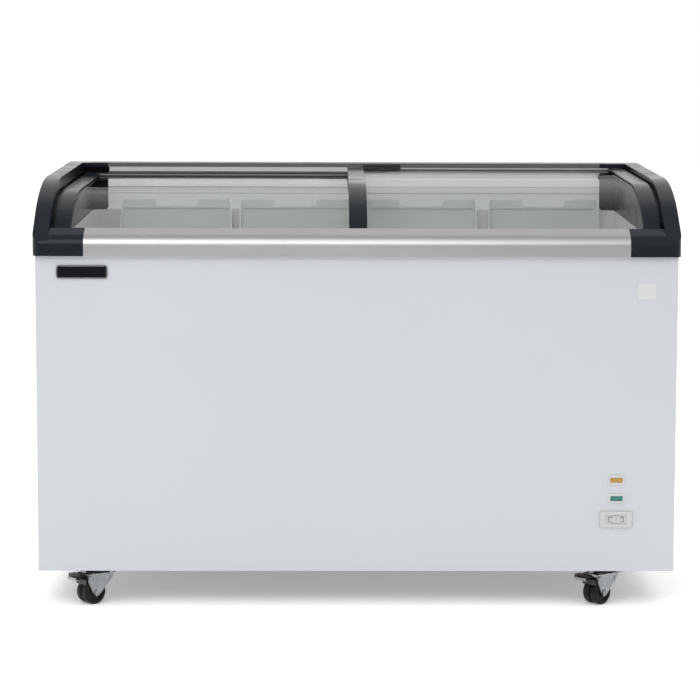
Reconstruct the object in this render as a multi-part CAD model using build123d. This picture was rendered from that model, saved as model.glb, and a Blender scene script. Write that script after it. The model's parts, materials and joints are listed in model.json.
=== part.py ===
"""Chest freezer with two curved sliding glass lids, on four casters.

Millimetres. X is the length, +Y points to the rear, +Z is up.
The origin is on the floor, under the middle of the cabinet.
"""

import os
from math import acos, asin, cos, degrees, radians, sin

from build123d import *

# Cabinet
CABINET_X = 645.0            # half the length of the sheet-metal body
CABINET_Y = 325.0            # half the depth of the sheet-metal body
BASE_Z = 72.0                # underside of the cabinet
BODY_TOP = 710.8             # top edge of the outer panels
SHEET = 1.0
PAN_SHEET = 2.0
HAT_Y = (-305.0, 318.0)      # channels over the casters
HAT_TOP = 90.0
HAT_W = 43.0                 # half the width of a channel
OVERALL_Y = 335.0            # front rail nose and rear hood

# End caps
CAP_X = 650.0                # outer face of an end cap
CAP_BAND_X = 618.0           # inner face of the raised band
CAP_INNER_X = 592.0          # face towards the storage space
CAP_BOTTOM = 711.0
CAP_WALL = 3.5
FRONT_BLOCK_X = 547.0        # inner end of the corner block on the front rail
REAR_BLOCK_X = 560.0

# Roof curve in the YZ plane: a straight rear slope, a wide arc, then a tighter arc
ROOF_REAR = (335.0, 890.0)
ROOF_SLOPE = 3.5
ROOF_BEND_Y = -83.3
ARC_1_R = 366.0
ARC_1_END = 28.0
ARC_2_R = 204.0

# Lids: depths measured square to the roof curve
STILE_TOP = 10.0
STILE_DEPTH = 9.0
GLASS_TOP = 13.0
GLASS_T = 4.0
BAR_DEPTH = 10.0
LID_STEP = 15.0              # the left lid runs this much lower than the right one
LID_END_X = 612.0
END_STILE_W = 33.0
MULLION_X = (-15.5, 20.5)
LEFT_CENTRE_X = (-16.0, 20.0)
GLASS_IN_STILE = 10.0
LID_REAR_Y = 294.0
BAR_REAR_Y = 326.0
GLASS_END_SLOPE = 57.0
STILE_END_SLOPE = 55.5
BAR_END_SLOPE = 61.5

# Storage space
LINER_X = 590.0
LINER_FRONT = -260.0
LINER_REAR = 270.0
LINER_T = 1.5
LINER_FLOOR = 132.0
STEP_X = 350.0               # the floor rises over the compressor from here
STEP_Z = 345.0
RIM = ((-261.5, 723.5), (-100.0, 759.0), (271.5, 782.7))   # top edge of the liner's side walls

# Compressor bay, open to the right side panel
BAY_X = 402.0
BAY_TOP = 295.0

# Bins
BIN_X = ((-528.0, -277.0), (-259.0, -8.0), (27.0, 278.0), (304.0, 555.0))
BIN_T = 2.5
BIN_FRONT = -256.0
BIN_REAR = 266.0
BIN_BACK_TOP = 806.5
BIN_SIDE_TOP = 728.0
BIN_BOTTOM = 440.0
NOTCH_BOTTOM = 791.5

# Casters: X, Y, heading and brake; local x points from the swivel towards the wheel
CASTERS = (
    (-526.0, -286.0, 220.0, True),
    (507.5, -286.0, 222.0, True),
    (-526.0, 286.0, 220.0, False),
    (507.5, 286.0, 222.0, False),
)
WHEEL_R = 25.0
WHEEL_W = 16.0
WHEEL_GAP = 3.0
TRAIL = 20.0
AXLE_R = 3.0
RUNNING = 0.05               # radial clearance of a running fit
BRAKE_PIVOT = (35.0, 55.0)   # local x and z

# Controls on the front panel, x and z of each centre
AMBER = (526.0, 259.0)
GREEN = (526.5, 221.3)
BEZEL = (33.0, 19.0)
LENS = (25.0, 10.0)
THERMOSTAT = (526.0, 178.5)
THERMOSTAT_SIZE = (66.0, 33.0)
DIAL_R = 8.0
BADGE = (-551.0, 679.0)
BADGE_SIZE = (102.0, 26.0)

# Refrigeration
COMPRESSOR = (500.0, 130.0)
COMPRESSOR_R = 78.0
COMPRESSOR_H = 165.0
FAN = (-170.0, 185.0)        # y and z of the shaft
FAN_R = 84.0
CONDENSER = ((594.0, 634.0), (-282.0, -58.0), (92.0, 284.0))
GRILLE = ((-292.0, 30.0), (92.0, 284.0))

DRAIN = (-540.0, -215.0)
DRAIN_R = 10.0
GLAND = (560.0, 112.0)


# ---------------------------------------------------------------- helpers

def block(x, y, z):
    """A box given by its low and high X, Y and Z."""
    middle = ((x[0] + x[1]) / 2, (y[0] + y[1]) / 2, (z[0] + z[1]) / 2)
    return Pos(*middle) * Box(x[1] - x[0], y[1] - y[0], z[1] - z[0])


def rounded_block(x, y, z, radius, axis=Axis.Z):
    shape = block(x, y, z)
    return fillet(shape.edges().filter_by(axis), radius)


def rod(centre, radius, length, axis="Z"):
    """A cylinder whose middle is at centre, along X, Y or Z."""
    turn = {"X": Rot(0, 90, 0), "Y": Rot(90, 0, 0), "Z": Rot(0, 0, 0)}[axis]
    return Pos(*centre) * turn * Cylinder(radius, length)


def along_x(face, x):
    """Extrudes a face drawn in the YZ plane between two X values."""
    return extrude(Plane.YZ.offset(x[0]) * face, amount=x[1] - x[0])


def outline(*points):
    return make_face(Polyline(*points, close=True))


def mirrored(shape):
    return mirror(shape, about=Plane.YZ)


def save(name, shape):
    """Writes one node. A list of shapes becomes a group of separate solids."""
    group = Compound(children=list(shape)) if isinstance(shape, (list, tuple)) else shape
    export_step(group, f"parts/{name}.step")
    print(f"{name}: {sum(s.volume for s in group.solids()) / 1000:.1f} cm3")


# ---------------------------------------------------------------- roof curve

def outward(slope):
    """Unit normal of the roof where it falls forwards at this slope, in (y, z)."""
    angle = radians(slope)
    return -sin(angle), cos(angle)


def roof_centres():
    ny, nz = outward(ROOF_SLOPE)
    bend_z = ROOF_REAR[1] - (ROOF_REAR[0] - ROOF_BEND_Y) * sin(radians(ROOF_SLOPE)) / nz
    first = (ROOF_BEND_Y - ARC_1_R * ny, bend_z - ARC_1_R * nz)
    ny, nz = outward(ARC_1_END)
    step = ARC_1_R - ARC_2_R
    return first, (first[0] + step * ny, first[1] + step * nz)


ARC_1_CENTRE, ARC_2_CENTRE = roof_centres()


def on_slope(y, depth):
    """Point on the straight rear slope, sunk by depth."""
    ny, nz = outward(ROOF_SLOPE)
    base_y = y + depth * ny
    base_z = ROOF_REAR[1] - (ROOF_REAR[0] - base_y) * sin(radians(ROOF_SLOPE)) / nz
    return y, base_z - depth * nz


def on_arc(slope, depth):
    """Point on the roof arcs where the slope is this many degrees, sunk by depth."""
    centre, radius = (ARC_1_CENTRE, ARC_1_R) if slope <= ARC_1_END else (ARC_2_CENTRE, ARC_2_R)
    ny, nz = outward(slope)
    return centre[0] + (radius - depth) * ny, centre[1] + (radius - depth) * nz


def slope_at_height(z, depth):
    """Slope of the front arc at height z."""
    return degrees(acos((z - ARC_2_CENTRE[1]) / (ARC_2_R - depth)))


def roof_edges(depth, rear_y, end_slope):
    """The roof curve sunk by depth, from rear_y down to end_slope."""
    middle = (ARC_1_END + end_slope) / 2
    bend = on_arc(ROOF_SLOPE, depth)
    join = on_arc(ARC_1_END, depth)
    return [
        Line(on_slope(rear_y, depth), bend),
        ThreePointArc(bend, on_arc((ROOF_SLOPE + ARC_1_END) / 2, depth), join),
        ThreePointArc(join, on_arc(middle, depth), on_arc(end_slope, depth)),
    ]


def roof_slab(depths, rear_y, end_slope):
    """Face between two depths below the roof curve."""
    top, under = depths
    edges = roof_edges(top, rear_y, end_slope) + roof_edges(under, rear_y, end_slope)
    edges.append(Line(on_slope(rear_y, top), on_slope(rear_y, under)))
    edges.append(Line(on_arc(end_slope, top), on_arc(end_slope, under)))
    return make_face(edges)


def arc_slab(depths, slopes):
    """Short face between two depths and two slopes of the front arc."""
    corners = [on_arc(s, d) for s, d in ((slopes[0], depths[0]), (slopes[1], depths[0]),
                                         (slopes[1], depths[1]), (slopes[0], depths[1]))]
    return outline(*corners)


def slope_slab(depths, y):
    """Face between two depths on the straight rear slope."""
    return outline(on_slope(y[0], depths[0]), on_slope(y[1], depths[0]),
                   on_slope(y[1], depths[1]), on_slope(y[0], depths[1]))


# ---------------------------------------------------------------- sections of the frame

NOSE_TOP = 766.0
NOSE = ((-328.5, 750.5), (-335.0, 736.5))
NOSE_R = 22.0
BAND_END_SLOPE = 40.5        # the raised band leaves the roof curve here, straight to the nose
RAIL_WALL = 3.0
RAIL_BACK = -309.0


def roof_meets_nose():
    return on_arc(slope_at_height(NOSE_TOP, 0.0), 0.0)


def nose_section():
    """Closed outline shared by the front rail and the corner blocks."""
    tip = roof_meets_nose()
    face = outline(tip, *NOSE, (-OVERALL_Y, CAP_BOTTOM), (RAIL_BACK, CAP_BOTTOM),
                   (RAIL_BACK, NOSE_TOP - 9.0), (tip[0], NOSE_TOP - 5.0))
    ridge = face.vertices().sort_by(Axis.X)[:3].sort_by(Axis.Y)[1:]
    return fillet(ridge, NOSE_R)


def track_section_front():
    """Stepped floor that carries the front edges of both lids."""
    return outline((-308.7, 725.0), (-296.8, 725.0), (-296.8, 714.0), (-265.0, 714.0),
                   (-265.0, 724.0), (-262.0, 724.0), (-262.0, 711.0), (-299.8, 711.0),
                   (-299.8, 722.0), (-308.7, 722.0))


def hood_section():
    """Rear cover: a back wall, a sloping top and a short front lip."""
    return outline(on_slope(296.0, 0.0), on_slope(OVERALL_Y, 0.0), (OVERALL_Y, 700.0),
                   (331.5, 700.0), on_slope(331.5, 3.5), on_slope(299.0, 3.5),
                   on_slope(299.0, 9.0), on_slope(296.0, 9.0))


def track_section_rear():
    """Two sloping webs that carry the rear bars of the lids, on a hollow foot."""
    spine = outline((328.0, 783.0), (331.2, 783.0), (331.2, 884.0), (328.0, 884.0))
    inner = outline((295.0, 783.0), (298.0, 783.0), (298.0, 849.5), (295.0, 849.5))
    foot = outline((270.0, 783.0), (331.2, 783.0), (331.2, 786.0), (270.0, 786.0))
    upper = slope_slab((21.5, 24.3), (297.0, 331.2))
    lower = slope_slab((36.5, 39.5), (295.0, 331.2))
    return spine + inner + foot + upper + lower


# ---------------------------------------------------------------- cabinet

def lamp_hole(centre):
    return block((centre[0] - 14, centre[0] + 14), (-330, -320), (centre[1] - 7.5, centre[1] + 7.5))


def front_panel():
    skin = block((-CABINET_X, CABINET_X), (-CABINET_Y, -CABINET_Y + 15), (BASE_Z, BODY_TOP))
    skin = fillet(skin.edges().filter_by(Axis.Z).sort_by(Axis.Y)[:2], 3.0)
    hollow = block((-CABINET_X + SHEET, CABINET_X - SHEET),
                   (-CABINET_Y + SHEET, -CABINET_Y + 30), (BASE_Z + SHEET, BODY_TOP + 10))
    hollow = fillet(hollow.edges().filter_by(Axis.Z).sort_by(Axis.Y)[:2], 2.0)
    x, z = THERMOSTAT
    body_hole = block((x - 21, x + 21), (-330, -320), (z - 13, z + 13))
    return skin - hollow - lamp_hole(AMBER) - lamp_hole(GREEN) - body_hole


def side_panel():
    """Left side panel: a flat sheet with a folded foot."""
    skin = block((-CABINET_X, -CABINET_X + SHEET), (-309.8, CABINET_Y), (BASE_Z, BODY_TOP))
    foot = block((-CABINET_X, -CABINET_X + 14), (-309.8, CABINET_Y - 1.5), (BASE_Z, BASE_Z + SHEET))
    return skin + foot


def right_side_panel():
    y, z = GRILLE
    opening = block((600, 660), (y[0] + 5, y[1] - 5), (z[0] + 5, z[1] - 5))
    return mirrored(side_panel()) - opening


def rear_panel():
    skin = block((-CABINET_X + 1.2, CABINET_X - 1.2), (CABINET_Y - SHEET, CABINET_Y), (BASE_Z, BODY_TOP))
    for row in range(9):
        for column in range(2):
            slot = rounded_block((425 + 85 * column, 495 + 85 * column), (320, 330),
                                 (150 + 14 * row, 156 + 14 * row), 2.9, Axis.Y)
            skin -= slot
    return skin - rod((GLAND[0], CABINET_Y, GLAND[1]), 10.0, 10, "Y")


def caster_bolt_places():
    for x, y, _, _ in CASTERS:
        for dx in (-28, 28):
            for dy in (-18, 18):
                yield x + dx, y + dy


def base_pan():
    """Floor pan with two hat channels welded on, over the casters."""
    edge_x = CABINET_X - 14.5
    pan = block((-edge_x, edge_x), (-309.5, CABINET_Y - 1.5), (BASE_Z, BASE_Z + PAN_SHEET))
    for x in (CASTERS[0][0], CASTERS[1][0]):
        hat = block((x - HAT_W, x + HAT_W), HAT_Y, (BASE_Z + PAN_SHEET, HAT_TOP))
        hat -= block((x - HAT_W + 2.5, x + HAT_W - 2.5), HAT_Y, (BASE_Z + PAN_SHEET, HAT_TOP - 2.5))
        pan += hat
    for x, y in caster_bolt_places():
        pan -= rod((x, y, BASE_Z), 4.1, 10)
    return pan - rod((*DRAIN, BASE_Z + 10), DRAIN_R, 30)


def storage_room(grow=0.0, top=900.0):
    """The storage space, with the raised floor over the compressor."""
    low, high = LINER_FLOOR - grow, STEP_Z - grow
    left, right, step = -LINER_X - grow, LINER_X + grow, STEP_X + grow
    shape = make_face(Polyline((left, low), (step, low), (step, high), (right, high),
                               (right, top), (left, top), close=True))
    depth = LINER_REAR - LINER_FRONT + 2 * grow
    room = extrude(Plane.XZ.offset(-LINER_REAR - grow) * shape, amount=depth)
    corners = room.edges().filter_by(Axis.Z).group_by(Axis.X)
    return fillet(corners[0] + corners[-1], 14.0 + grow)


def inner_liner():
    shell = storage_room(LINER_T, 790.0) - storage_room()
    rim = outline(*RIM, (272, 900), (-262, 900))
    shell -= along_x(rim, (-600, 600))
    return shell - rod((*DRAIN, LINER_FLOOR), DRAIN_R, 10)


def coil_gap(z):
    """Space for the coil: a band round the front, left and rear of the liner."""
    grow = LINER_T + 0.1
    band = block((-LINER_X - grow - 11, 330), (LINER_FRONT - grow - 11, LINER_REAR + grow + 11), z)
    return band - rounded_block((-LINER_X - grow, 360), (LINER_FRONT - grow, LINER_REAR + grow), z, 15.6)


def foam_insulation():
    inside = CABINET_X - 1.3
    foam = rounded_block((-inside, inside), (-CABINET_Y + 1.2, CABINET_Y - 1.2),
                         (BASE_Z + PAN_SHEET + 0.1, 710.5), 4.0)
    foam += block((-inside + 60, inside - 60), (LINER_REAR + 2, CABINET_Y - 1.2), (700, 782.6))
    foam -= storage_room(LINER_T + 0.1)
    foam -= block((BAY_X, 700), (-400, 400), (0, BAY_TOP))
    x = CASTERS[0][0]
    foam -= block((x - HAT_W - 0.2, x + HAT_W + 0.2), (-320, 320), (0, HAT_TOP + 0.2))
    foam -= coil_gap((420, 700))
    for centre in (AMBER, GREEN, THERMOSTAT):
        foam -= block((centre[0] - 24, centre[0] + 24), (-330, -280), (centre[1] - 20, centre[1] + 20))
    return foam - rod((*DRAIN, 100), DRAIN_R, 80)


def front_rail():
    """Aluminium extrusion between the corner blocks."""
    section = nose_section()
    return along_x(section - offset(section, -RAIL_WALL, kind=Kind.INTERSECTION),
                   (-FRONT_BLOCK_X, FRONT_BLOCK_X))


def front_track():
    return along_x(track_section_front(), (-616, 616))


def rear_hood():
    return along_x(hood_section(), (-REAR_BLOCK_X, REAR_BLOCK_X))


def rear_track():
    return along_x(track_section_rear(), (-REAR_BLOCK_X, REAR_BLOCK_X))


# ---------------------------------------------------------------- end caps

def band_section(inset=0.0, bottom=CAP_BOTTOM):
    """Side outline of the raised band: the roof curve, a straight to the nose and the rear wall."""
    rear = OVERALL_Y - inset
    tip = on_arc(BAND_END_SLOPE, inset)
    front = -OVERALL_Y + inset
    drop = (tip[0] - front) * sin(radians(BAND_END_SLOPE)) / cos(radians(BAND_END_SLOPE))
    edges = roof_edges(inset, rear, BAND_END_SLOPE)
    edges.append(Polyline(tip, (front, tip[1] - drop), (front, bottom), (rear, bottom),
                          on_slope(rear, inset)))
    face = make_face(edges)
    if inset:
        return face
    return fillet([v for v in face.vertices() if 730 < v.Y < 750], 18.0)


def ledge_section(depth):
    """Side outline of the body under the lid ends, its top sunk by depth."""
    front = -261.3
    angle = (ARC_2_CENTRE[0] - front) / (ARC_2_R - depth)
    end_slope = degrees(asin(angle))
    edges = roof_edges(depth, 296.0, end_slope)
    edges.append(Polyline(on_arc(end_slope, depth), (front, CAP_BOTTOM), (269.7, CAP_BOTTOM),
                          (269.7, 784.0), (296.0, 784.0), on_slope(296.0, depth)))
    return make_face(edges)


def end_cap(ledge_depth):
    """Right-hand cap: hollow band, ledge under the lid end, and two corner blocks."""
    band = along_x(band_section(), (CAP_BAND_X, CAP_X))
    plan = block((0, CAP_X), (-OVERALL_Y, OVERALL_Y), (600, 1000))
    corners = plan.edges().filter_by(Axis.Z).group_by(Axis.X)[-1].sort_by(Axis.Y)
    plan = fillet(corners[:1], 18.0)
    band &= plan
    hollow = along_x(band_section(CAP_WALL, CAP_BOTTOM - 5),
                     (CAP_BAND_X + CAP_WALL, CAP_X - CAP_WALL))
    hollow &= block((0, CAP_X), (-OVERALL_Y + 9, OVERALL_Y), (600, 1000))
    cap = band - hollow
    ledge = along_x(ledge_section(ledge_depth), (CAP_INNER_X, CAP_BAND_X))
    nose = nose_section()
    front = along_x(nose, (FRONT_BLOCK_X, CAP_BAND_X))
    front -= along_x(offset(nose, -RAIL_WALL, kind=Kind.INTERSECTION), (FRONT_BLOCK_X + 3, CAP_BAND_X - 0.5))
    rear = along_x(hood_section() + track_section_rear(), (REAR_BLOCK_X, CAP_BAND_X))
    return cap + ledge + front + rear


def badge_plate():
    x, z = BADGE
    w, h = BADGE_SIZE
    plate = rounded_block((x - w / 2, x + w / 2), (-CABINET_Y - 3, -CABINET_Y), (z - h / 2, z + h / 2), 5, Axis.Y)
    field = rounded_block((x - w / 2 + 1.8, x + w / 2 - 1.8), (-CABINET_Y - 4, -CABINET_Y - 2),
                          (z - h / 2 + 1.8, z + h / 2 - 1.8), 3.5, Axis.Y)
    return plate - field


# ---------------------------------------------------------------- lids

def lid_x(side):
    """X ranges of a lid: the end stile and the centre stile."""
    if side == "left":
        return (-LID_END_X, -LID_END_X + END_STILE_W), LEFT_CENTRE_X
    return (LID_END_X - END_STILE_W, LID_END_X), MULLION_X


def lid_step(side):
    return LID_STEP if side == "left" else 0.0


def glass_x(side):
    end, centre = lid_x(side)
    low, high = sorted((end, centre))
    return low[1] - GLASS_IN_STILE, high[0] + GLASS_IN_STILE


def lid_glass(side):
    top = GLASS_TOP + lid_step(side)
    return along_x(roof_slab((top, top + GLASS_T), 305.0, GLASS_END_SLOPE), glass_x(side))


def glass_slot(side):
    """Room for the glass in the pieces around it, with a little play."""
    top = GLASS_TOP + lid_step(side)
    x = glass_x(side)
    face = roof_slab((top - 0.1, top + GLASS_T + 0.1), 305.2, GLASS_END_SLOPE + 0.1)
    return along_x(face, (x[0] - 0.2, x[1] + 0.2))


def lid_stile(side, x):
    top = STILE_TOP + lid_step(side)
    face = roof_slab((top, top + STILE_DEPTH), LID_REAR_Y, STILE_END_SLOPE)
    return along_x(face, x) - glass_slot(side)


def lid_span(side):
    end, centre = lid_x(side)
    return min(end[0], centre[0]), max(end[1], centre[1])


def lid_rear_bar(side):
    top = STILE_TOP + lid_step(side)
    bar = along_x(slope_slab((top, top + BAR_DEPTH), (LID_REAR_Y, BAR_REAR_Y)), lid_span(side))
    return bar - glass_slot(side)


def lid_front_bar(side):
    top = STILE_TOP - 1 + lid_step(side)
    bar = along_x(arc_slab((top, top + STILE_DEPTH + 2), (STILE_END_SLOPE, BAR_END_SLOPE)), lid_span(side))
    return bar - glass_slot(side)


def lid_glides(side):
    """Nylon pads under both bars; the right lid also has a stop on its rear edge."""
    low, high = lid_span(side)
    under = STILE_TOP + BAR_DEPTH + lid_step(side)
    floor, y = (714.3, (-292.5, -279.5)) if side == "left" else (725.3, (-306.0, -297.5))
    pads = []
    for x in (low + 30, high - 90):
        pads.append(block((x, x + 60), y, (floor, floor + 12)) - lid_front_bar(side))
        pads.append(along_x(slope_slab((under, under + 1.2), (301.0, 322.0)), (x, x + 60)))
    if side == "right":
        pads.append(along_x(slope_slab((1.5, GLASS_TOP - 0.1), (284.0, 293.7)), (21, 105)))
    return pads


def lid_seal(side):
    """Strips under the end stile; the right lid has a brush under its mullion too."""
    under = STILE_TOP + STILE_DEPTH + lid_step(side)
    x = (-600, -594) if side == "left" else (594, 600)
    strips = [along_x(roof_slab((under, under + 1.7), 290.0, 54.0), x)]
    if side == "right":
        strips.append(along_x(roof_slab((under, under + 5.6), 290.0, 54.0), (-6, 10)))
    return strips


# ---------------------------------------------------------------- bins

def storage_bin(x):
    """Moulded bin: low side walls, a tall back plate with a finger notch, two hooks."""
    low, high = x
    y = (BIN_FRONT, BIN_REAR)
    shell = rounded_block(x, y, (BIN_BOTTOM, BIN_BACK_TOP), 9.0)
    shell -= rounded_block((low + BIN_T, high - BIN_T), (y[0] + BIN_T, y[1] - BIN_T),
                           (BIN_BOTTOM + BIN_T, 900), 6.5)
    sides = outline((-300, BIN_SIDE_TOP), (236, BIN_SIDE_TOP), (BIN_REAR - BIN_T - 1, BIN_BACK_TOP),
                    (BIN_REAR - BIN_T - 1, 900), (-300, 900))
    shell -= along_x(sides, (low - 1, high + 1))
    shell += block((low + 8, high - 8), (y[1] - 5, y[1] - 1), (786.5, BIN_BACK_TOP))
    shell += block((low + 12, high - 12), (y[1] - 1, y[1] + 18), (786.1, 788.6))
    shell += block((low + 12, high - 12), (y[0] - 8.5, y[0] + 1), (724.3, 727))
    middle = (low + high) / 2
    notch = make_face(Polyline((middle - 46, NOTCH_BOTTOM), (middle + 46, NOTCH_BOTTOM), (middle + 51, 810),
                               (middle - 51, 810), close=True))
    shell -= extrude(Plane.XZ.offset(-255) * notch, amount=-15)
    for row in range(5):
        for column in range(4):
            slot_x = middle + 54 * (column - 1.5)
            slot_y = 5 + 88 * (row - 2)
            shell -= rounded_block((slot_x - 18, slot_x + 18), (slot_y - 6, slot_y + 6),
                                   (BIN_BOTTOM - 1, BIN_BOTTOM + 5), 5.5)
    return shell


# ---------------------------------------------------------------- casters

def placed(shape, caster):
    x, y, heading, _ = caster
    return Pos(x, y, 0) * Rot(0, 0, heading) * shape


def caster_plate():
    plate = rounded_block((-36, 36), (-30, 30), (69.5, BASE_Z), 5)
    race = rod((0, 0, 66.8), 22, 5.6)
    race = fillet(race.edges().group_by(Axis.Z)[0], 2)
    plate += race
    for dx in (-28, 28):
        for dy in (-18, 18):
            plate -= rod((dx, dy, 70), 4.1, 12)
    return plate - rod((0, 0, 68), 4 + RUNNING, 20)


def hexagon(centre, across, z):
    prism = extrude(Pos(*centre, z[0]) * RegularPolygon(across / 2, 6, major_radius=False), amount=z[1] - z[0])
    return prism


def caster_bolt(x, y):
    shaft = rod((x, y, 75.5), 4, 15)
    return shaft + hexagon((x, y), 13, (65, 69.4)) + hexagon((x, y), 13, (74.1, 80.5))


def caster_fork():
    """Pressed fork with king pin, axle and rivet heads."""
    fork = rod((0, 0, 62.4), 24, 2.6)
    fork += block((-22, 26), (-20.5, 20.5), (59.5, 61.6))
    cheek = make_face(Polyline((-22, 63.6), (40, 63.6), (40, 50), (29, 25), (20, 16), (11, 22),
                               (-22, 55), close=True))
    cheek = fillet(cheek.vertices().sort_by(Axis.Y)[:3], 3.0)
    for y in (-18, 20.5):
        fork += extrude(Plane.XZ.offset(-y) * cheek, amount=2.5)
    fork -= rod((*BRAKE_PIVOT[:1], 0, BRAKE_PIVOT[1]), 2 + RUNNING, 60, "Y")
    fork -= rod((-8, 0, 53), 3.5, 60, "Y")
    fork += rod((0, 0, 66.9), 4, 9.4)
    fork += rod((TRAIL, 0, WHEEL_R), AXLE_R, 41, "Y")
    for y in (-21.7, 21.7):
        rivet = rod((TRAIL, y, WHEEL_R), 5.5, 2.4, "Y")
        fork += rivet
    return fork


def caster_wheels():
    """Twin wheels with rounded treads and a sunk web."""
    pair = []
    for side in (-1, 1):
        y = side * (WHEEL_GAP + WHEEL_W) / 2
        wheel = Rot(90, 0, 0) * Cylinder(WHEEL_R, WHEEL_W)
        wheel = fillet(wheel.edges(), 4)
        wheel -= Pos(0, side * (WHEEL_W / 2 - 1), 0) * Rot(90, 0, 0) * Cylinder(17, 2.2)
        wheel += Pos(0, side * (WHEEL_W / 2 - 1), 0) * Rot(90, 0, 0) * Cylinder(9, 2)
        wheel -= Rot(90, 0, 0) * Cylinder(AXLE_R + RUNNING, 40)
        pair.append(Pos(TRAIL, y, WHEEL_R) * wheel)
    return pair


def caster_brake():
    """Foot pedal on a pivot pin; its shoe presses on both treads."""
    px, pz = BRAKE_PIVOT
    pedal = rounded_block((41, 54), (-31, 6), (53, 62), 2.5, Axis.X)
    arm = block((px - 3, 43), (-8, 4), (pz - 3, pz + 2.5))
    shoe = block((42, 44.5), (-17.2, 17.2), (42, 53))
    tie = block((42, 44.5), (-8, 4), (50, 56))
    pin = rod((px, 0, pz), 2, 45, "Y")
    return pedal + arm + shoe + tie + pin


# ---------------------------------------------------------------- refrigeration

def tube(points, radius, bend=14.0):
    path = FilletPolyline(*points, radius=bend)
    section = Plane(path @ 0, z_dir=path % 0) * Circle(radius)
    return sweep(section, path=path)


def coil_points():
    """One line that winds round the front, left and rear of the liner."""
    wall = LINER_T + 0.1 + 5.5
    front, rear, left, right = LINER_FRONT - wall, LINER_REAR + wall, -LINER_X - wall, 316.0
    points = []
    for loop in range(5):
        z = 440 + 54 * loop
        run = [(right, front, z), (left, front, z), (left, rear, z), (right, rear, z)]
        points += run if loop % 2 == 0 else run[::-1]
    return points


def feed_points():
    """From the drier in the bay to the start of the coil."""
    start = coil_points()[0]
    return [(430, -250, 240), (430, -250, 318), (start[0] + 40, start[1], 318),
            (start[0] + 40, start[1], start[2]), (start[0] + 0.5, start[1], start[2])]


def return_points():
    """From the end of the coil back to the compressor."""
    end = coil_points()[-1]
    return [(end[0] + 0.5, end[1], end[2]), (end[0] + 60, end[1], end[2]), (end[0] + 60, end[1], 318),
            (450, end[1], 318), (450, end[1], 215), (450, 188.6, 215)]


def refrigerant_tubes():
    """Suction, discharge and liquid lines, with the filter drier on the last."""
    hot = tube([(540, 65.4, 220), (540, 20, 220), (540, 20, 262), (614, 20, 262), (614, -57.5, 262)], 3.0, 10)
    liquid = tube([(614, -282.5, 104), (614, -300, 104), (430, -300, 104), (430, -300, 170),
                   (430, -250, 170), (430, -250, 190)], 3.0, 5)
    drier = rod((430, -250, 213), 11, 54)
    drier = fillet(drier.edges(), 6)
    return [hot, liquid + drier, tube(feed_points(), 1.5, 10), tube(return_points(), 4.0, 12)]


def evaporator_coil():
    return tube(coil_points(), 4.0, 14)


def tube_channels():
    """Clearance in the foam for the two lines that leave the bay."""
    return tube(feed_points(), 2.0, 10) + tube(return_points(), 5.0, 12)


def compressor():
    x, y = COMPRESSOR
    base = HAT_TOP + 15.0
    pot = Pos(x, y, base + COMPRESSOR_H / 2) * Cylinder(COMPRESSOR_R - 4, COMPRESSOR_H)
    ends = pot.edges().group_by(Axis.Z)
    pot = fillet(ends[0] + ends[-1], 34)
    pot += rod((x, y, base + 82), COMPRESSOR_R, 5)
    foot = rounded_block((x - 36, x + 44), (y - 92, y + 92), (base - 3, base + 2), 8)
    for dx, dy in mount_places():
        foot -= rod((x + dx, y + dy, base), 5, 20)
    box = rounded_block((x - 24, x + 24), (y - 92, y - 60), (base + 56, base + 104), 5, Axis.Y)
    return pot + foot + box


def mount_places():
    return [(dx, dy) for dx in (-26, 34) for dy in (-82, 82)]


def compressor_mounts():
    x, y = COMPRESSOR
    mounts = []
    for dx, dy in mount_places():
        mount = rod((x + dx, y + dy, HAT_TOP + 6), 9, 12)
        mount = fillet(mount.edges(), 2)
        mount += rod((x + dx, y + dy, HAT_TOP + 15), 4.5, 8)
        mount += rod((x + dx, y + dy, HAT_TOP + 19), 9, 3)
        mounts.append(mount)
    return mounts


def condenser():
    """Finned block: fins across the air flow, tube runs along Y with U bends."""
    x, y, z = CONDENSER
    parts = []
    count = 24
    for i in range(count):
        at = y[0] + 8 + (y[1] - y[0] - 16) * i / (count - 1)
        parts.append(block(x, (at - 0.5, at + 0.5), z))
    for tube_x in (x[0] + 10, x[0] + 30):
        for row in range(6):
            at = z[0] + 16 + 32 * row
            parts.append(rod((tube_x, (y[0] + y[1]) / 2, at), 4, y[1] - y[0], "Y"))
    for end in (y[0] + 2, y[1] - 2):
        parts.append(block(x, (end - 1, end + 1), z))
    parts.append(block((x[0], x[1] - 4), y, (BASE_Z + PAN_SHEET, z[0])))
    solid = parts[0]
    return solid.fuse(*parts[1:])


def fan_motor():
    y, z = FAN
    body = rod((536, y, z), 34, 46, "X")
    body = fillet(body.edges(), 5)
    body -= rod((552, y, z), 3 + RUNNING, 30, "X")
    leg = block((532, 536), (y - 20, y + 20), (HAT_TOP, z - 20))
    foot = block((500, 536), (y - 24, y + 24), (HAT_TOP, HAT_TOP + 2.5))
    return body + leg + foot


def fan_blade():
    y, z = FAN
    fan = rod((575, y, z), 18, 18, "X")
    fan = fillet(fan.edges(), 2)
    fan += rod((560, y, z), 3, 30, "X")
    for i in range(5):
        blade = rounded_block((-1.2, 1.2), (-21, 21), (14, FAN_R), 9, Axis.X)
        blade = Rot(0, 0, 20) * blade
        fan += Pos(575, y, z) * Rot(72 * i, 0, 0) * blade
    return fan


# ---------------------------------------------------------------- controls and fittings

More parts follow.
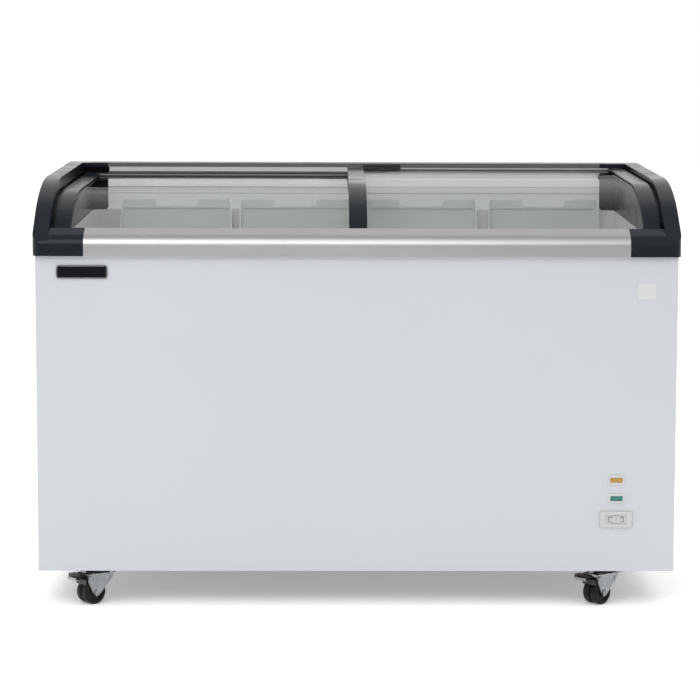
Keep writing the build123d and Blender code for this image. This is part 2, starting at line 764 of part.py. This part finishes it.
def thermostat_plate():
    x, z = THERMOSTAT
    w, h = THERMOSTAT_SIZE
    plate = rounded_block((x - w / 2, x + w / 2), (-CABINET_Y - 4, -CABINET_Y), (z - h / 2, z + h / 2), 3, Axis.Y)
    front = plate.faces().sort_by(Axis.Y)[0]
    plate = fillet(front.edges(), 1.2)
    plate -= rounded_block((x - 21.5, x + 21.5), (-340, -CABINET_Y - 2), (z - 9.5, z + 9.5), 1.5, Axis.Y)
    plate += block((x - 20.8, x + 20.8), (-CABINET_Y, -287), (z - 12.8, z + 12.8))
    return plate - rod((x, -CABINET_Y + 4, z), 3 + RUNNING, 24, "Y")


def thermostat_dial():
    x, z = THERMOSTAT
    dial = rod((x, -CABINET_Y - 3.4, z), DIAL_R, 2.2, "Y")
    dial = fillet(dial.faces().sort_by(Axis.Y)[0].edges(), 0.6)
    dial -= block((x - 0.9, x + 0.9), (-332, -CABINET_Y - 3.3), (z - 6.5, z + 6.5))
    return dial + rod((x, -CABINET_Y + 3, z), 3, 13, "Y")


def lamp_bezel(centre):
    x, z = centre
    w, h = BEZEL
    frame = rounded_block((x - w / 2, x + w / 2), (-CABINET_Y - 2.5, -CABINET_Y), (z - h / 2, z + h / 2), 2.5, Axis.Y)
    frame = fillet(frame.faces().sort_by(Axis.Y)[0].edges(), 0.8)
    frame += block((x - 13.8, x + 13.8), (-CABINET_Y, -CABINET_Y + 22), (z - 7.3, z + 7.3))
    return frame - block((x - LENS[0] / 2 - 0.1, x + LENS[0] / 2 + 0.1), (-340, -CABINET_Y + 12),
                         (z - LENS[1] / 2 - 0.1, z + LENS[1] / 2 + 0.1))


def lens(centre):
    x, z = centre
    shape = block((x - LENS[0] / 2, x + LENS[0] / 2), (-CABINET_Y - 4, -CABINET_Y + 10),
                  (z - LENS[1] / 2, z + LENS[1] / 2))
    return fillet(shape.faces().sort_by(Axis.Y)[0].edges(), 1.0)


def vent_grille():
    """Louvred cover over the opening in the right side panel."""
    y, z = GRILLE
    frame = rounded_block((CABINET_X, CABINET_X + 3), y, z, 6, Axis.X)
    count = 14
    pitch = (z[1] - z[0] - 24) / count
    for i in range(count):
        low = z[0] + 12 + pitch * i
        for half in ((y[0] + 14, (y[0] + y[1]) / 2 - 5), ((y[0] + y[1]) / 2 + 5, y[1] - 14)):
            frame -= block((600, 700), half, (low + 2, low + pitch - 3))
    for sy, sz in grille_screw_places():
        frame -= rod((CABINET_X, sy, sz), 2.1, 20, "X")
    return frame


def grille_screw_places():
    y, z = GRILLE
    return [(sy, sz) for sy in (y[0] + 7, y[1] - 7) for sz in (z[0] + 7, z[1] - 7)]


def drain_plug():
    """Bung in the liner floor with a pull ring."""
    x, y = DRAIN
    plug = rod((x, y, LINER_FLOOR + 1.8), 15, 3)
    plug = fillet(plug.edges().group_by(Axis.Z)[-1], 1)
    plug += rod((x, y, LINER_FLOOR - 8), DRAIN_R - RUNNING, 18)
    ring = Pos(x, y, LINER_FLOOR + 9) * Rot(90, 0, 0) * Torus(7, 1.5)
    return plug + ring


def cable_gland():
    x, z = GLAND
    gland = rod((x, CABINET_Y + 4, z), 13, 8, "Y")
    gland = fillet(gland.faces().sort_by(Axis.Y)[-1].edges(), 2)
    gland += rod((x, CABINET_Y - 3, z), 9.8, 12, "Y")
    return gland - rod((x, CABINET_Y, z), 4, 40, "Y")


def screws():
    """Pan-head screws: the grille's four and six on the rear panel."""
    group = []
    for y, z in grille_screw_places():
        head = rod((CABINET_X + 3.9, y, z), 3.6, 1.8, "X")
        group.append(head + rod((CABINET_X + 1.6, y, z), 1.9, 3, "X"))
    for x in (-620, 0, 620):
        for z in (90, 690):
            group.append(rod((x, CABINET_Y + 1, z), 4, 2, "Y"))
    return group


# ---------------------------------------------------------------- all nodes

def main():
    os.makedirs("parts", exist_ok=True)
    save("front_panel", front_panel())
    save("left_panel", side_panel())
    save("right_panel", right_side_panel())
    save("rear_panel", rear_panel())
    save("base_pan", base_pan())
    save("foam_insulation", foam_insulation() - tube_channels())
    save("inner_liner", inner_liner())
    save("front_rail", front_rail())
    save("front_track", front_track())
    save("rear_hood", rear_hood())
    save("rear_track", rear_track())
    save("end_cap_left", mirrored(end_cap(36.0)))
    save("end_cap_right", end_cap(21.0))
    save("badge_plate", badge_plate())
    for side in ("left", "right"):
        end, centre = lid_x(side)
        save(f"lid_{side}_glass", lid_glass(side))
        save(f"lid_{side}_end_stile", lid_stile(side, end))
        save(f"lid_{side}_centre_stile", lid_stile(side, centre))
        save(f"lid_{side}_rear_bar", lid_rear_bar(side))
        save(f"lid_{side}_front_bar", lid_front_bar(side))
        save(f"lid_{side}_glides", lid_glides(side))
        save(f"lid_{side}_seal", lid_seal(side))
    for number, x in enumerate(BIN_X, 1):
        save(f"storage_bin_{number}", storage_bin(x))
    save("caster_plates", [Pos(c[0], c[1], 0) * caster_plate() for c in CASTERS])
    save("caster_bolts", [caster_bolt(x, y) for x, y in caster_bolt_places()])
    for number, caster in enumerate(CASTERS, 1):
        save(f"caster_fork_{number}", placed(caster_fork(), caster))
        save(f"caster_wheels_{number}", [placed(wheel, caster) for wheel in caster_wheels()])
        if caster[3]:
            save(f"caster_brake_{number}", placed(caster_brake(), caster))
    save("evaporator_coil", evaporator_coil())
    save("refrigerant_tubes", refrigerant_tubes())
    save("compressor", compressor())
    save("compressor_mounts", compressor_mounts())
    save("condenser", condenser())
    save("fan_motor", fan_motor())
    save("fan_blade", fan_blade())
    save("thermostat_plate", thermostat_plate())
    save("thermostat_dial", thermostat_dial())
    save("lamp_bezels", [lamp_bezel(AMBER), lamp_bezel(GREEN)])
    save("amber_lens", lens(AMBER))
    save("green_lens", lens(GREEN))
    save("vent_grille", vent_grille())
    save("drain_plug", drain_plug())
    save("cable_gland", cable_gland())
    save("screws", screws())


main()
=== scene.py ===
"""Chest freezer: finishes, small surface pieces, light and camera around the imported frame.

Metres, +Z up, -Y is the front. CAD nodes keep their shape and get their materials here.
"""

import json
from math import cos, pi, radians, sin

import bpy
from mathutils import Matrix, Vector


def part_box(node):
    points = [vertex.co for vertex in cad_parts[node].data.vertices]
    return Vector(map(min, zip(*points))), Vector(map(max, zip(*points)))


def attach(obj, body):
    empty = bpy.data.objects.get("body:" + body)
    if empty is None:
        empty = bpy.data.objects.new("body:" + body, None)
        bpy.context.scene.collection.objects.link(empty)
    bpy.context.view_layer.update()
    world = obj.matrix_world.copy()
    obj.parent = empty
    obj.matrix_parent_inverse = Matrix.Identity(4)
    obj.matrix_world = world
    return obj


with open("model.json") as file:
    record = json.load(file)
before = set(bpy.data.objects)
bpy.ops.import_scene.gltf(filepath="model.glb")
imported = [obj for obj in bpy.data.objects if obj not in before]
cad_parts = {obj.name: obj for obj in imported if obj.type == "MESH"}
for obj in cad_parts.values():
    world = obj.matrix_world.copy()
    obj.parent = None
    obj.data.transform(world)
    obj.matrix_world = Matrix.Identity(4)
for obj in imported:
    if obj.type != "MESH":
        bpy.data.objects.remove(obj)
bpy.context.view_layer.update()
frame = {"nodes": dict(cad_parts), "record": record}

NODES = frame["nodes"]
JOINTS = {joint["name"]: joint for joint in frame["record"]["behaviour"]["joints"]}

# Materials
NOISE_MIDDLE = (0.3, 0.7)              # where most values of a noise texture lie
GLASS_TINT = (0.868, 0.873, 0.87)
GLASS_FACING = (0.45, 1.0)             # the reflection grows over this range towards grazing
GLASS_SHARE = (0.025, 0.12)            # share of reflected light, square on and grazing

# Rear inner wall, with painted shade, a painted shadow and a painted glow
ROOF_SLOPE = 0.0612                    # rise of the canopy's rear slope
WEB_SHADOW_DEPTH = (0.0246, 0.0212)           # painted shadow along the web edge, measured down from the hood
WALL_Y = 0.2948
JOINT_LINES = ((0.8185, 0.8200), (0.8335, 0.8343))
LINE_THICKNESS = 0.0004

# Surface pieces
CORNER_STEPS = 6
ROUND_STEPS = 24
STICKER_X = (0.564, 0.601)
STICKER_Z = (0.626, 0.658)
DIAL_RECESS = 0.002
MARK_THICKNESS = 0.0003
MARK_HALF_WIDTH = 0.0005
MARK_TOP = 0.0065
SIDE_MARKS = ((0.0155, 0.0045), (0.0128, -0.001), (0.0102, -0.0025))    # offset, reach below the middle
BASE_MARK_X = (0.0088, 0.0155)
BASE_MARK_Z = (0.0052, 0.0045)
LEVER_Y = (-0.026, 0.004)
LEVER_PLATE = ((0.045, 0.058), LEVER_Y, (0.0512, 0.0526))
LEVER_EDGE = ((0.058, 0.0595), LEVER_Y, (0.0512, 0.0565))
BRAKE_PIN = (0.035, 0.0212, 0.055)
PIN_HEAD_R = 0.0055
PIN_HEAD_THICKNESS = 0.0022

# Light: ranges of direction, then of brightness
SKY_HIGH = ((0.05, 0.55), (0.0, 0.8))      # brighter with height
SKY_REAR = ((-0.2, 0.5), (0.36, 1.0))      # brighter behind
SKY_DIP = ((0.7, 0.97), (0.0, 0.25))       # dimmer straight up, in reflections
SKY_LIFT = ((0.4, 0.9), (0.0, 0.75))       # brighter from above, on matt surfaces
KEY_PLACE = (-0.8, -3.4, 2.9)
KEY_TARGET = (0, 0, 0.5)
KEY_SIZE = (3.0, 1.9)
KEY_POWER = 47
FLOOR_SIZE = 60
FLOOR_Y = 26

# Camera
CAMERA_PLACE = (-0.05591, -4.64977, 0.96031)
CAMERA_YAW = -0.5538
CAMERA_DOWN = 5.776
CAMERA_ROLL = 0.1513
CAMERA_LENS = 111.22
CAMERA_SENSOR = 36
CAMERA_REACH = 200


# ---------------------------------------------------------------- material helpers

def set_range(node, limits, values):
    """Fills in a Map Range node: limits of the input, values of the output."""
    for key, value in zip(("From Min", "From Max", "To Min", "To Max"), (*limits, *values)):
        node.inputs[key].default_value = value


class Tree:
    """A material's node tree, with short calls to add and link nodes."""

    def __init__(self, name):
        self.material = bpy.data.materials.new(name)
        self.material.use_nodes = True
        self.nodes = self.material.node_tree.nodes
        self.links = self.material.node_tree.links
        self.shader = self.nodes["Principled BSDF"]
        self.place = self.add("ShaderNodeTexCoord").outputs["Object"]

    def add(self, kind, **settings):
        node = self.nodes.new(kind)
        for key, value in settings.items():
            setattr(node, key, value)
        return node

    def link(self, source, target):
        self.links.new(source, target)

    def stretched(self, scale):
        """Object coordinates scaled by (x, y, z)."""
        mapping = self.add("ShaderNodeMapping")
        mapping.inputs["Scale"].default_value = scale
        self.link(self.place, mapping.inputs["Vector"])
        return mapping.outputs["Vector"]

    def noise(self, scale, detail=3.0, stretch=(1, 1, 1), roughness=0.5):
        node = self.add("ShaderNodeTexNoise")
        node.inputs["Scale"].default_value = scale
        node.inputs["Detail"].default_value = detail
        node.inputs["Roughness"].default_value = roughness
        self.link(self.stretched(stretch), node.inputs["Vector"])
        return node.outputs["Fac"]

    def spread(self, value, low, high):
        """Maps a noise value from its middle range to low..high."""
        node = self.add("ShaderNodeMapRange")
        set_range(node, NOISE_MIDDLE, (low, high))
        self.link(value, node.inputs["Value"])
        return node.outputs["Result"]

    def blend(self, factor, first, second):
        """Mixes two colours, each a tuple or a socket."""
        node = self.add("ShaderNodeMix", data_type="RGBA")
        self.link(factor, node.inputs["Factor"])
        for socket, value in (("A", first), ("B", second)):
            target = [i for i in node.inputs if i.name == socket and i.type == "RGBA"][0]
            if isinstance(value, tuple):
                target.default_value = (*value, 1.0)
            else:
                self.link(value, target)
        return [o for o in node.outputs if o.type == "RGBA"][0]

    def bump(self, height, distance):
        node = self.add("ShaderNodeBump")
        node.inputs["Distance"].default_value = distance
        node.inputs["Strength"].default_value = 1.0
        self.link(height, node.inputs["Height"])
        self.link(node.outputs["Normal"], self.shader.inputs["Normal"])

    def math(self, operation, *values):
        node = self.add("ShaderNodeMath", operation=operation)
        for socket, value in zip(node.inputs, values):
            if isinstance(value, float):
                socket.default_value = value
            else:
                self.link(value, socket)
        return node.outputs[0]

    def band(self, value, low, high):
        """1 where the value lies between low and high, otherwise 0."""
        above = self.math("GREATER_THAN", value, low)
        return self.math("MULTIPLY", above, self.math("LESS_THAN", value, high))

    def set(self, **values):
        for key, value in values.items():
            name = key.replace("_", " ")
            self.shader.inputs[name].default_value = value


def scaled(colour, factor):
    return tuple(min(1.0, channel * factor) for channel in colour)


def surface(name, colour, roughness, metallic=0.0, specular=0.5, variation=0.04, patch=6.0,
            rough_spread=0.06, grain=900.0, grain_depth=0.00003, stretch=(1, 1, 1), **more):
    """Procedural finish: slow colour drift, uneven gloss and a fine grain."""
    tree = Tree(name)
    drift = tree.spread(tree.noise(patch, 4.0), 0.0, 1.0)
    mixed = tree.blend(drift, scaled(colour, 1 - variation), scaled(colour, 1 + variation))
    tree.link(mixed, tree.shader.inputs["Base Color"])
    gloss = tree.spread(tree.noise(patch * 3.1, 5.0, stretch), roughness - rough_spread,
                        roughness + rough_spread)
    tree.link(gloss, tree.shader.inputs["Roughness"])
    tree.bump(tree.noise(grain, 2.0, stretch), grain_depth)
    tree.set(Metallic=metallic, Specular_IOR_Level=specular, **more)
    return tree.material


def glass_material():
    """Thin tinted pane: see-through, with a reflection that grows towards grazing."""
    tree = Tree("clear_glass")
    smear = tree.spread(tree.noise(5.0, 6.0), 0.01, 0.035)
    tree.link(smear, tree.shader.inputs["Roughness"])
    tree.set(Base_Color=(0.9, 0.92, 0.92, 1.0), Metallic=1.0)
    clear = tree.add("ShaderNodeBsdfTransparent")
    clear.inputs["Color"].default_value = (*GLASS_TINT, 1.0)
    facing = tree.add("ShaderNodeLayerWeight")
    facing.inputs["Blend"].default_value = 0.5
    share = tree.add("ShaderNodeMapRange")
    share.interpolation_type = "SMOOTHSTEP"
    set_range(share, GLASS_FACING, GLASS_SHARE)
    tree.link(facing.outputs["Facing"], share.inputs["Value"])
    mix = tree.add("ShaderNodeMixShader")
    tree.link(share.outputs["Result"], mix.inputs[0])
    tree.link(clear.outputs["BSDF"], mix.inputs[1])
    tree.link(tree.shader.outputs["BSDF"], mix.inputs[2])
    tree.link(mix.outputs["Shader"], tree.nodes["Material Output"].inputs["Surface"])
    return tree.material


def rear_track_painted_light():
    """Pale wall that glows as painted light, with painted shade darker low down and under the right lid,
    and a painted shadow along one web edge over the left lid.
    """
    tree = Tree("rear_track")
    split = tree.add("ShaderNodeSeparateXYZ")
    tree.link(tree.place, split.inputs[0])
    slope = tree.math("MULTIPLY_ADD", split.outputs["Y"], -ROOF_SLOPE, split.outputs["Z"])
    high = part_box("rear_hood")[1]
    base = high.z - ROOF_SLOPE * high.y
    # painted shadow: a dark band along the web edge, over the left lid only
    web = tree.band(slope, base - WEB_SHADOW_DEPTH[0], base - WEB_SHADOW_DEPTH[1])
    web = tree.math("MULTIPLY", web, tree.math("LESS_THAN", split.outputs["X"], 0.0))
    drift = tree.spread(tree.noise(8.0, 4.0), 0.0, 1.0)
    pale = tree.blend(drift, (0.72, 0.725, 0.73), (0.78, 0.785, 0.79))
    # painted shade: the right half of the wall is painted darker
    right = tree.math("GREATER_THAN", split.outputs["X"], 0.0)
    pale = tree.blend(right, pale, (0.57, 0.575, 0.58))
    # painted shade: the wall is painted darker below the upper joint line
    low_shade = tree.math("LESS_THAN", split.outputs["Z"], JOINT_LINES[1][0])
    pale = tree.blend(low_shade, pale, (0.47, 0.475, 0.48))
    colour = tree.blend(web, pale, (0.03, 0.034, 0.04))
    tree.link(colour, tree.shader.inputs["Base Color"])
    # painted light: the wall glows in its own colour at half strength, with no lamp behind it
    tree.link(colour, tree.shader.inputs["Emission Color"])
    tree.set(Emission_Strength=0.5)
    tree.link(tree.spread(tree.noise(25.0, 4.0), 0.4, 0.55), tree.shader.inputs["Roughness"])
    tree.bump(tree.noise(700.0, 2.0), 0.00002)
    return tree.material


MATERIALS = {
    "white_steel": surface("white_steel", (0.53, 0.546, 0.574), 0.38, variation=0.012, patch=2.0,
                           grain=700.0, grain_depth=0.00002),
    "galvanised": surface("galvanised", (0.5, 0.51, 0.52), 0.42, metallic=0.85, variation=0.09,
                          patch=45.0, rough_spread=0.12),
    "aluminium": surface("aluminium", (0.5, 0.502, 0.515), 0.38, metallic=1.0, variation=0.03,
                         grain=260.0, grain_depth=0.00002, stretch=(0.04, 1, 1)),
    "dark_plastic": surface("dark_plastic", (0.0105, 0.014, 0.018), 0.23, specular=0.17,
                            variation=0.05, grain=2600.0, grain_depth=0.000005),
    "grey_plastic": surface("grey_plastic", (0.5, 0.51, 0.52), 0.4, variation=0.03),
    "hood": surface("hood", (0.13, 0.132, 0.136), 0.36, variation=0.05),
    # liner: the faint white emission is painted light that lifts the interior seen through the lids
    "liner": surface("liner", (0.74, 0.745, 0.75), 0.45, variation=0.02, grain=500.0,
                     Emission_Color=(1.0, 1.0, 1.0, 1.0), Emission_Strength=0.05),
    "white_plastic": surface("white_plastic", (0.82, 0.83, 0.84), 0.32, variation=0.015),
    "foam": surface("foam", (0.7, 0.62, 0.42), 0.9, variation=0.12, patch=30.0, grain=400.0,
                    grain_depth=0.0004),
    "lid_frame": surface("lid_frame", (0.0125, 0.016, 0.0195), 0.2, specular=0.13, variation=0.04),
    "glass": glass_material(),
    "black_plastic": surface("black_plastic", (0.012, 0.012, 0.014), 0.38, variation=0.1),
    "nylon": surface("nylon", (0.014, 0.014, 0.015), 0.5, variation=0.1),
    "seal": surface("seal", (0.015, 0.015, 0.016), 0.7, variation=0.1),
    "rubber": surface("rubber", (0.012, 0.012, 0.012), 0.7, variation=0.15),
    "zinc": surface("zinc", (0.3, 0.312, 0.322), 0.33, metallic=1.0, variation=0.1, patch=60.0,
                    rough_spread=0.1),
    "wheel": surface("wheel", (0.007, 0.007, 0.008), 0.45, specular=0.2, variation=0.15, patch=60.0),
    "copper": surface("copper", (0.72, 0.33, 0.18), 0.3, metallic=1.0, variation=0.12, patch=40.0),
    "black_steel": surface("black_steel", (0.012, 0.012, 0.013), 0.35, variation=0.1),
    "fins": surface("fins", (0.7, 0.7, 0.71), 0.4, metallic=1.0, variation=0.1, patch=60.0),
    "amber": surface("amber", (0.39, 0.22, 0.04), 0.25, variation=0.1, patch=120.0),
    "green": surface("green", (0.03, 0.16, 0.13), 0.25, variation=0.1, patch=120.0),
    "silver": surface("silver", (0.72, 0.73, 0.75), 0.28, metallic=1.0, variation=0.03),
}


def finish_nodes():
    """Gives every CAD node the material of its slot, or one of its own."""
    control = surface("control_white", (0.52, 0.52, 0.51), 0.42, variation=0.015)
    bezel = surface("bezel_white", (0.58, 0.585, 0.59), 0.36, variation=0.015)
    special = {
        "rear_track": rear_track_painted_light(),
        "thermostat_plate": control,
        "thermostat_dial": control,
        "lamp_bezels": bezel,
        # caster top plates: zinc painted dark as painted shade, for the shadow under the cabinet
        "caster_plates": surface("zinc_painted_shade", (0.05, 0.052, 0.055), 0.45, metallic=0.8, variation=0.1),
        "badge_plate": surface("badge_rim", (0.1, 0.105, 0.11), 0.3, metallic=1.0, variation=0.05),
        # the two rear bars are one grey profile: the left copy is painted darker as painted shade in its
        # deep recess, the right copy painted lighter as painted light
        "lid_left_rear_bar": surface("left_rear_bar", (0.26, 0.265, 0.27), 0.35, metallic=0.3,
                                     variation=0.04, stretch=(0.05, 1, 1)),
        "lid_right_rear_bar": surface("right_rear_bar", (0.56, 0.565, 0.57), 0.35, metallic=0.3,
                                      variation=0.04, stretch=(0.05, 1, 1)),
    }
    for entry in frame["record"]["subparts"]:
        node = NODES[entry["node"]]
        node.data.materials.clear()
        node.data.materials.append(special.get(entry["node"]) or MATERIALS[entry["material_slot"]])


finish_nodes()


# ---------------------------------------------------------------- surface pieces

def place(name, data, material, slot, body, turn):
    """Puts a piece in the scene, turned by a matrix if given, riding on its body."""
    piece = bpy.data.objects.new(name, data)
    bpy.context.scene.collection.objects.link(piece)
    if turn:
        piece.matrix_world = turn
    data.materials.append(material)
    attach(piece, body)


def rounded_plate(name, x, z, y, thickness, radius, material, slot):
    """Flat plate facing the front, with rounded corners; y is its front face."""
    curve = bpy.data.curves.new(name, "CURVE")
    curve.dimensions = "2D"
    curve.fill_mode = "BOTH"
    curve.extrude = thickness / 2
    spline = curve.splines.new("POLY")
    points = []
    for corner, (sx, sz) in enumerate(((1, 1), (-1, 1), (-1, -1), (1, -1))):
        cx = (x[1] - radius) if sx > 0 else (x[0] + radius)
        cz = (z[1] - radius) if sz > 0 else (z[0] + radius)
        for i in range(CORNER_STEPS + 1):
            angle = pi / 2 * (corner + i / CORNER_STEPS)
            points.append((cx + radius * cos(angle), cz + radius * sin(angle)))
    spline.points.add(len(points) - 1)
    for point, (px, pz) in zip(spline.points, points):
        point.co = (px, pz, 0, 1)
    spline.use_cyclic_u = True
    turn = Matrix.Translation((0, y + thickness / 2, 0)) @ Matrix.Rotation(pi / 2, 4, "X")
    place(name, curve, material, slot, "cabinet", turn)


def boxes(name, ranges, material, slot, body="cabinet", turn=None):
    """One piece of several boxes, each (x, y, z) ranges, turned by a matrix if given."""
    points = []
    faces = []
    for x, y, z in ranges:
        first = len(points)
        points += [(a, b, c) for a in x for b in y for c in z]
        faces += [tuple(first + i for i in face) for face in (
            (0, 1, 3, 2), (4, 6, 7, 5), (0, 4, 5, 1), (2, 3, 7, 6), (0, 2, 6, 4), (1, 5, 7, 3))]
    mesh = bpy.data.meshes.new(name)
    mesh.from_pydata(points, [], faces)
    place(name, mesh, material, slot, body, turn)


def dial_marks():
    """Plain marks in the thermostat window, either side of the dial."""
    low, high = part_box("thermostat_plate")
    x, z = (low.x + high.x) / 2, (low.z + high.z) / 2
    face = low.y + DIAL_RECESS
    ink = surface("mark_ink", (0.05, 0.05, 0.055), 0.5, variation=0.1)
    y = (face - MARK_THICKNESS, face)
    ranges = [((x + side * at - MARK_HALF_WIDTH, x + side * at + MARK_HALF_WIDTH), y,
               (z - reach, z + MARK_TOP))
              for side in (-1, 1) for at, reach in SIDE_MARKS]
    near, far = BASE_MARK_X
    z_range = (z - BASE_MARK_Z[0], z - BASE_MARK_Z[1])
    ranges += [((x - far, x - near), y, z_range), ((x + near, x + far), y, z_range)]
    boxes("dial_marks", ranges, ink, "black_plastic")


def caster_frame(number):
    """Matrix from a caster's own axes, x from the swivel to the wheel, to the scene."""
    swivel = JOINTS[f"swivel_{number}_turn"]["pos_m"]
    roll = JOINTS[f"wheels_{number}_roll"]["axis"]
    along = (roll[1], -roll[0])
    return Matrix(((along[0], roll[0], 0, swivel[0]), (along[1], roll[1], 0, swivel[1]),
                   (0, 0, 1, 0), (0, 0, 0, 1)))


def disc(name, centre, radius, thickness, material, slot, body, turn):
    """Short round piece with a chamfered face, its axis along the caster's own y."""
    steps = ROUND_STEPS
    rings = ((0.0, radius), (thickness * 0.6, radius), (thickness, radius * 0.75))
    points = []
    for rise, size in rings:
        for i in range(steps):
            angle = 2 * pi * i / steps
            points.append((centre[0] + size * cos(angle), centre[1] + rise, centre[2] + size * sin(angle)))
    faces = [tuple(range(steps)), tuple(range(3 * steps - 1, 2 * steps - 1, -1))]
    for ring in range(2):
        for i in range(steps):
            a, b = ring * steps + i, ring * steps + (i + 1) % steps
            faces.append((a, a + steps, b + steps, b))
    mesh = bpy.data.meshes.new(name)
    mesh.from_pydata(points, [], faces)
    place(name, mesh, material, slot, body, turn)


def brake_fittings(number):
    """Zinc lever plate under the pedal and the head of its pivot pin."""
    turn = caster_frame(number)
    zinc = MATERIALS["zinc"]
    body = f"brake_{number}"
    boxes(f"brake_lever_{number}", [LEVER_PLATE, LEVER_EDGE], zinc, "zinc", body, turn)
    disc(f"brake_pin_head_{number}", BRAKE_PIN, PIN_HEAD_R, PIN_HEAD_THICKNESS, zinc, "zinc", body, turn)


def wall_line():
    """Two thin joint lines along the rear inner wall, seen through the lids."""
    low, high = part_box("rear_track")
    grey = surface("joint_grey", (0.3, 0.3, 0.31), 0.6, variation=0.08)
    y = (WALL_Y, WALL_Y + LINE_THICKNESS)
    boxes("rear_joint_line", [((low.x, high.x), y, z) for z in JOINT_LINES], grey, "grey_plastic")


def badge_field():
    """Blank dark field with a bright line round it, on the badge plate."""
    low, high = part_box("badge_plate")
    gloss = surface("badge_black", (0.006, 0.007, 0.009), 0.16, specular=0.12, variation=0.05)
    bright = surface("badge_bright", (0.34, 0.35, 0.36), 0.3, metallic=1.0, variation=0.05)
    for name, edge, rise, radius, material, slot in (
            ("badge_line", 0.0009, 0.0002, 0.0043, bright, "silver"),
            ("badge_field", 0.0021, 0.0004, 0.0032, gloss, "black_plastic")):
        rounded_plate(name, (low.x + edge, high.x - edge), (low.z + edge, high.z - edge),
                      low.y - rise, 0.0006, radius, material, slot)


def sticker():
    pale = surface("sticker_pale", (0.58, 0.59, 0.60), 0.3, variation=0.01, patch=8.0)
    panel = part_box("front_panel")[0].y
    rounded_plate("blank_sticker", STICKER_X, STICKER_Z, panel - 0.0006, 0.0005, 0.002, pale,
                  "white_plastic")


badge_field()
sticker()
dial_marks()
wall_line()
for caster in (1, 2):
    brake_fittings(caster)


# ---------------------------------------------------------------- stage, light and camera

def world_light():
    """White to the camera; for light, bright overhead and behind, dimmer low in front."""
    world = bpy.data.worlds.new("studio")
    bpy.context.scene.world = world
    world.use_nodes = True
    nodes = world.node_tree.nodes
    links = world.node_tree.links
    background = nodes["Background"]
    direction = nodes.new("ShaderNodeTexCoord")
    split = nodes.new("ShaderNodeSeparateXYZ")
    links.new(direction.outputs["Generated"], split.inputs[0])

    def ranged(socket, limits, values):
        node = nodes.new("ShaderNodeMapRange")
        node.interpolation_type = "SMOOTHSTEP"
        set_range(node, limits, values)
        links.new(socket, node.inputs["Value"])
        return node.outputs["Result"]

    def combined(kind, a, b):
        node = nodes.new("ShaderNodeMath")
        node.operation = kind
        for socket, value in zip(node.inputs, (a, b)):
            if isinstance(value, float):
                socket.default_value = value
            else:
                links.new(value, socket)
        return node.outputs[0]

    high = ranged(split.outputs["Z"], *SKY_HIGH)
    rear = ranged(split.outputs["Y"], *SKY_REAR)
    dip = ranged(split.outputs["Z"], *SKY_DIP)
    path = nodes.new("ShaderNodeLightPath")
    dip = combined("SUBTRACT", 1.0, combined("MULTIPLY", dip, path.outputs["Is Glossy Ray"]))
    lift = ranged(split.outputs["Z"], *SKY_LIFT)
    lift = combined("MULTIPLY", lift, path.outputs["Is Diffuse Ray"])
    level = combined("MULTIPLY", combined("ADD", combined("MAXIMUM", high, rear), lift), dip)
    shown = combined("MAXIMUM", level, path.outputs["Is Camera Ray"])
    background.inputs["Color"].default_value = (1.0, 1.0, 1.0, 1.0)
    links.new(shown, background.inputs["Strength"])


def softbox(name, place, target, size, power):
    lamp = bpy.data.lights.new(name, "AREA")
    lamp.shape = "RECTANGLE"
    lamp.size, lamp.size_y = size
    lamp.energy = power
    holder = bpy.data.objects.new(name, lamp)
    bpy.context.scene.collection.objects.link(holder)
    holder.location = place
    aim = Vector(target) - Vector(place)
    holder.rotation_euler = aim.to_track_quat("-Z", "Y").to_euler()


def floor():
    bpy.ops.mesh.primitive_plane_add(size=1)
    plane = bpy.context.object
    plane.name = "floor"
    plane.scale = (FLOOR_SIZE, FLOOR_SIZE, 1)
    plane.location = (0, FLOOR_Y, 0)
    white = surface("floor_white", (0.93, 0.93, 0.93), 0.8, variation=0.004, specular=0.1,
                    grain_depth=0.0, Emission_Color=(1.0, 1.0, 1.0, 1.0), Emission_Strength=0.19)
    plane.data.materials.append(white)


def camera():
    yaw, down, roll = radians(CAMERA_YAW), radians(CAMERA_DOWN), radians(CAMERA_ROLL)
    ahead = Vector((-sin(yaw) * cos(down), cos(yaw) * cos(down), -sin(down)))
    level = Vector((cos(yaw), sin(yaw), 0))
    above = level.cross(ahead)
    right = level * cos(roll) + above * sin(roll)
    up = above * cos(roll) - level * sin(roll)
    lens = bpy.data.cameras.new("camera")
    lens.lens = CAMERA_LENS
    lens.sensor_width = CAMERA_SENSOR
    lens.clip_end = CAMERA_REACH
    holder = bpy.data.objects.new("camera", lens)
    bpy.context.scene.collection.objects.link(holder)
    holder.matrix_world = Matrix.Translation(CAMERA_PLACE) @ Matrix((
        (right.x, up.x, -ahead.x, 0), (right.y, up.y, -ahead.y, 0), (right.z, up.z, -ahead.z, 0),
        (0, 0, 0, 1)))
    bpy.context.scene.camera = holder


world_light()
softbox("key", KEY_PLACE, KEY_TARGET, KEY_SIZE, KEY_POWER)
floor()
camera()
bpy.context.scene.view_settings.view_transform = "Standard"
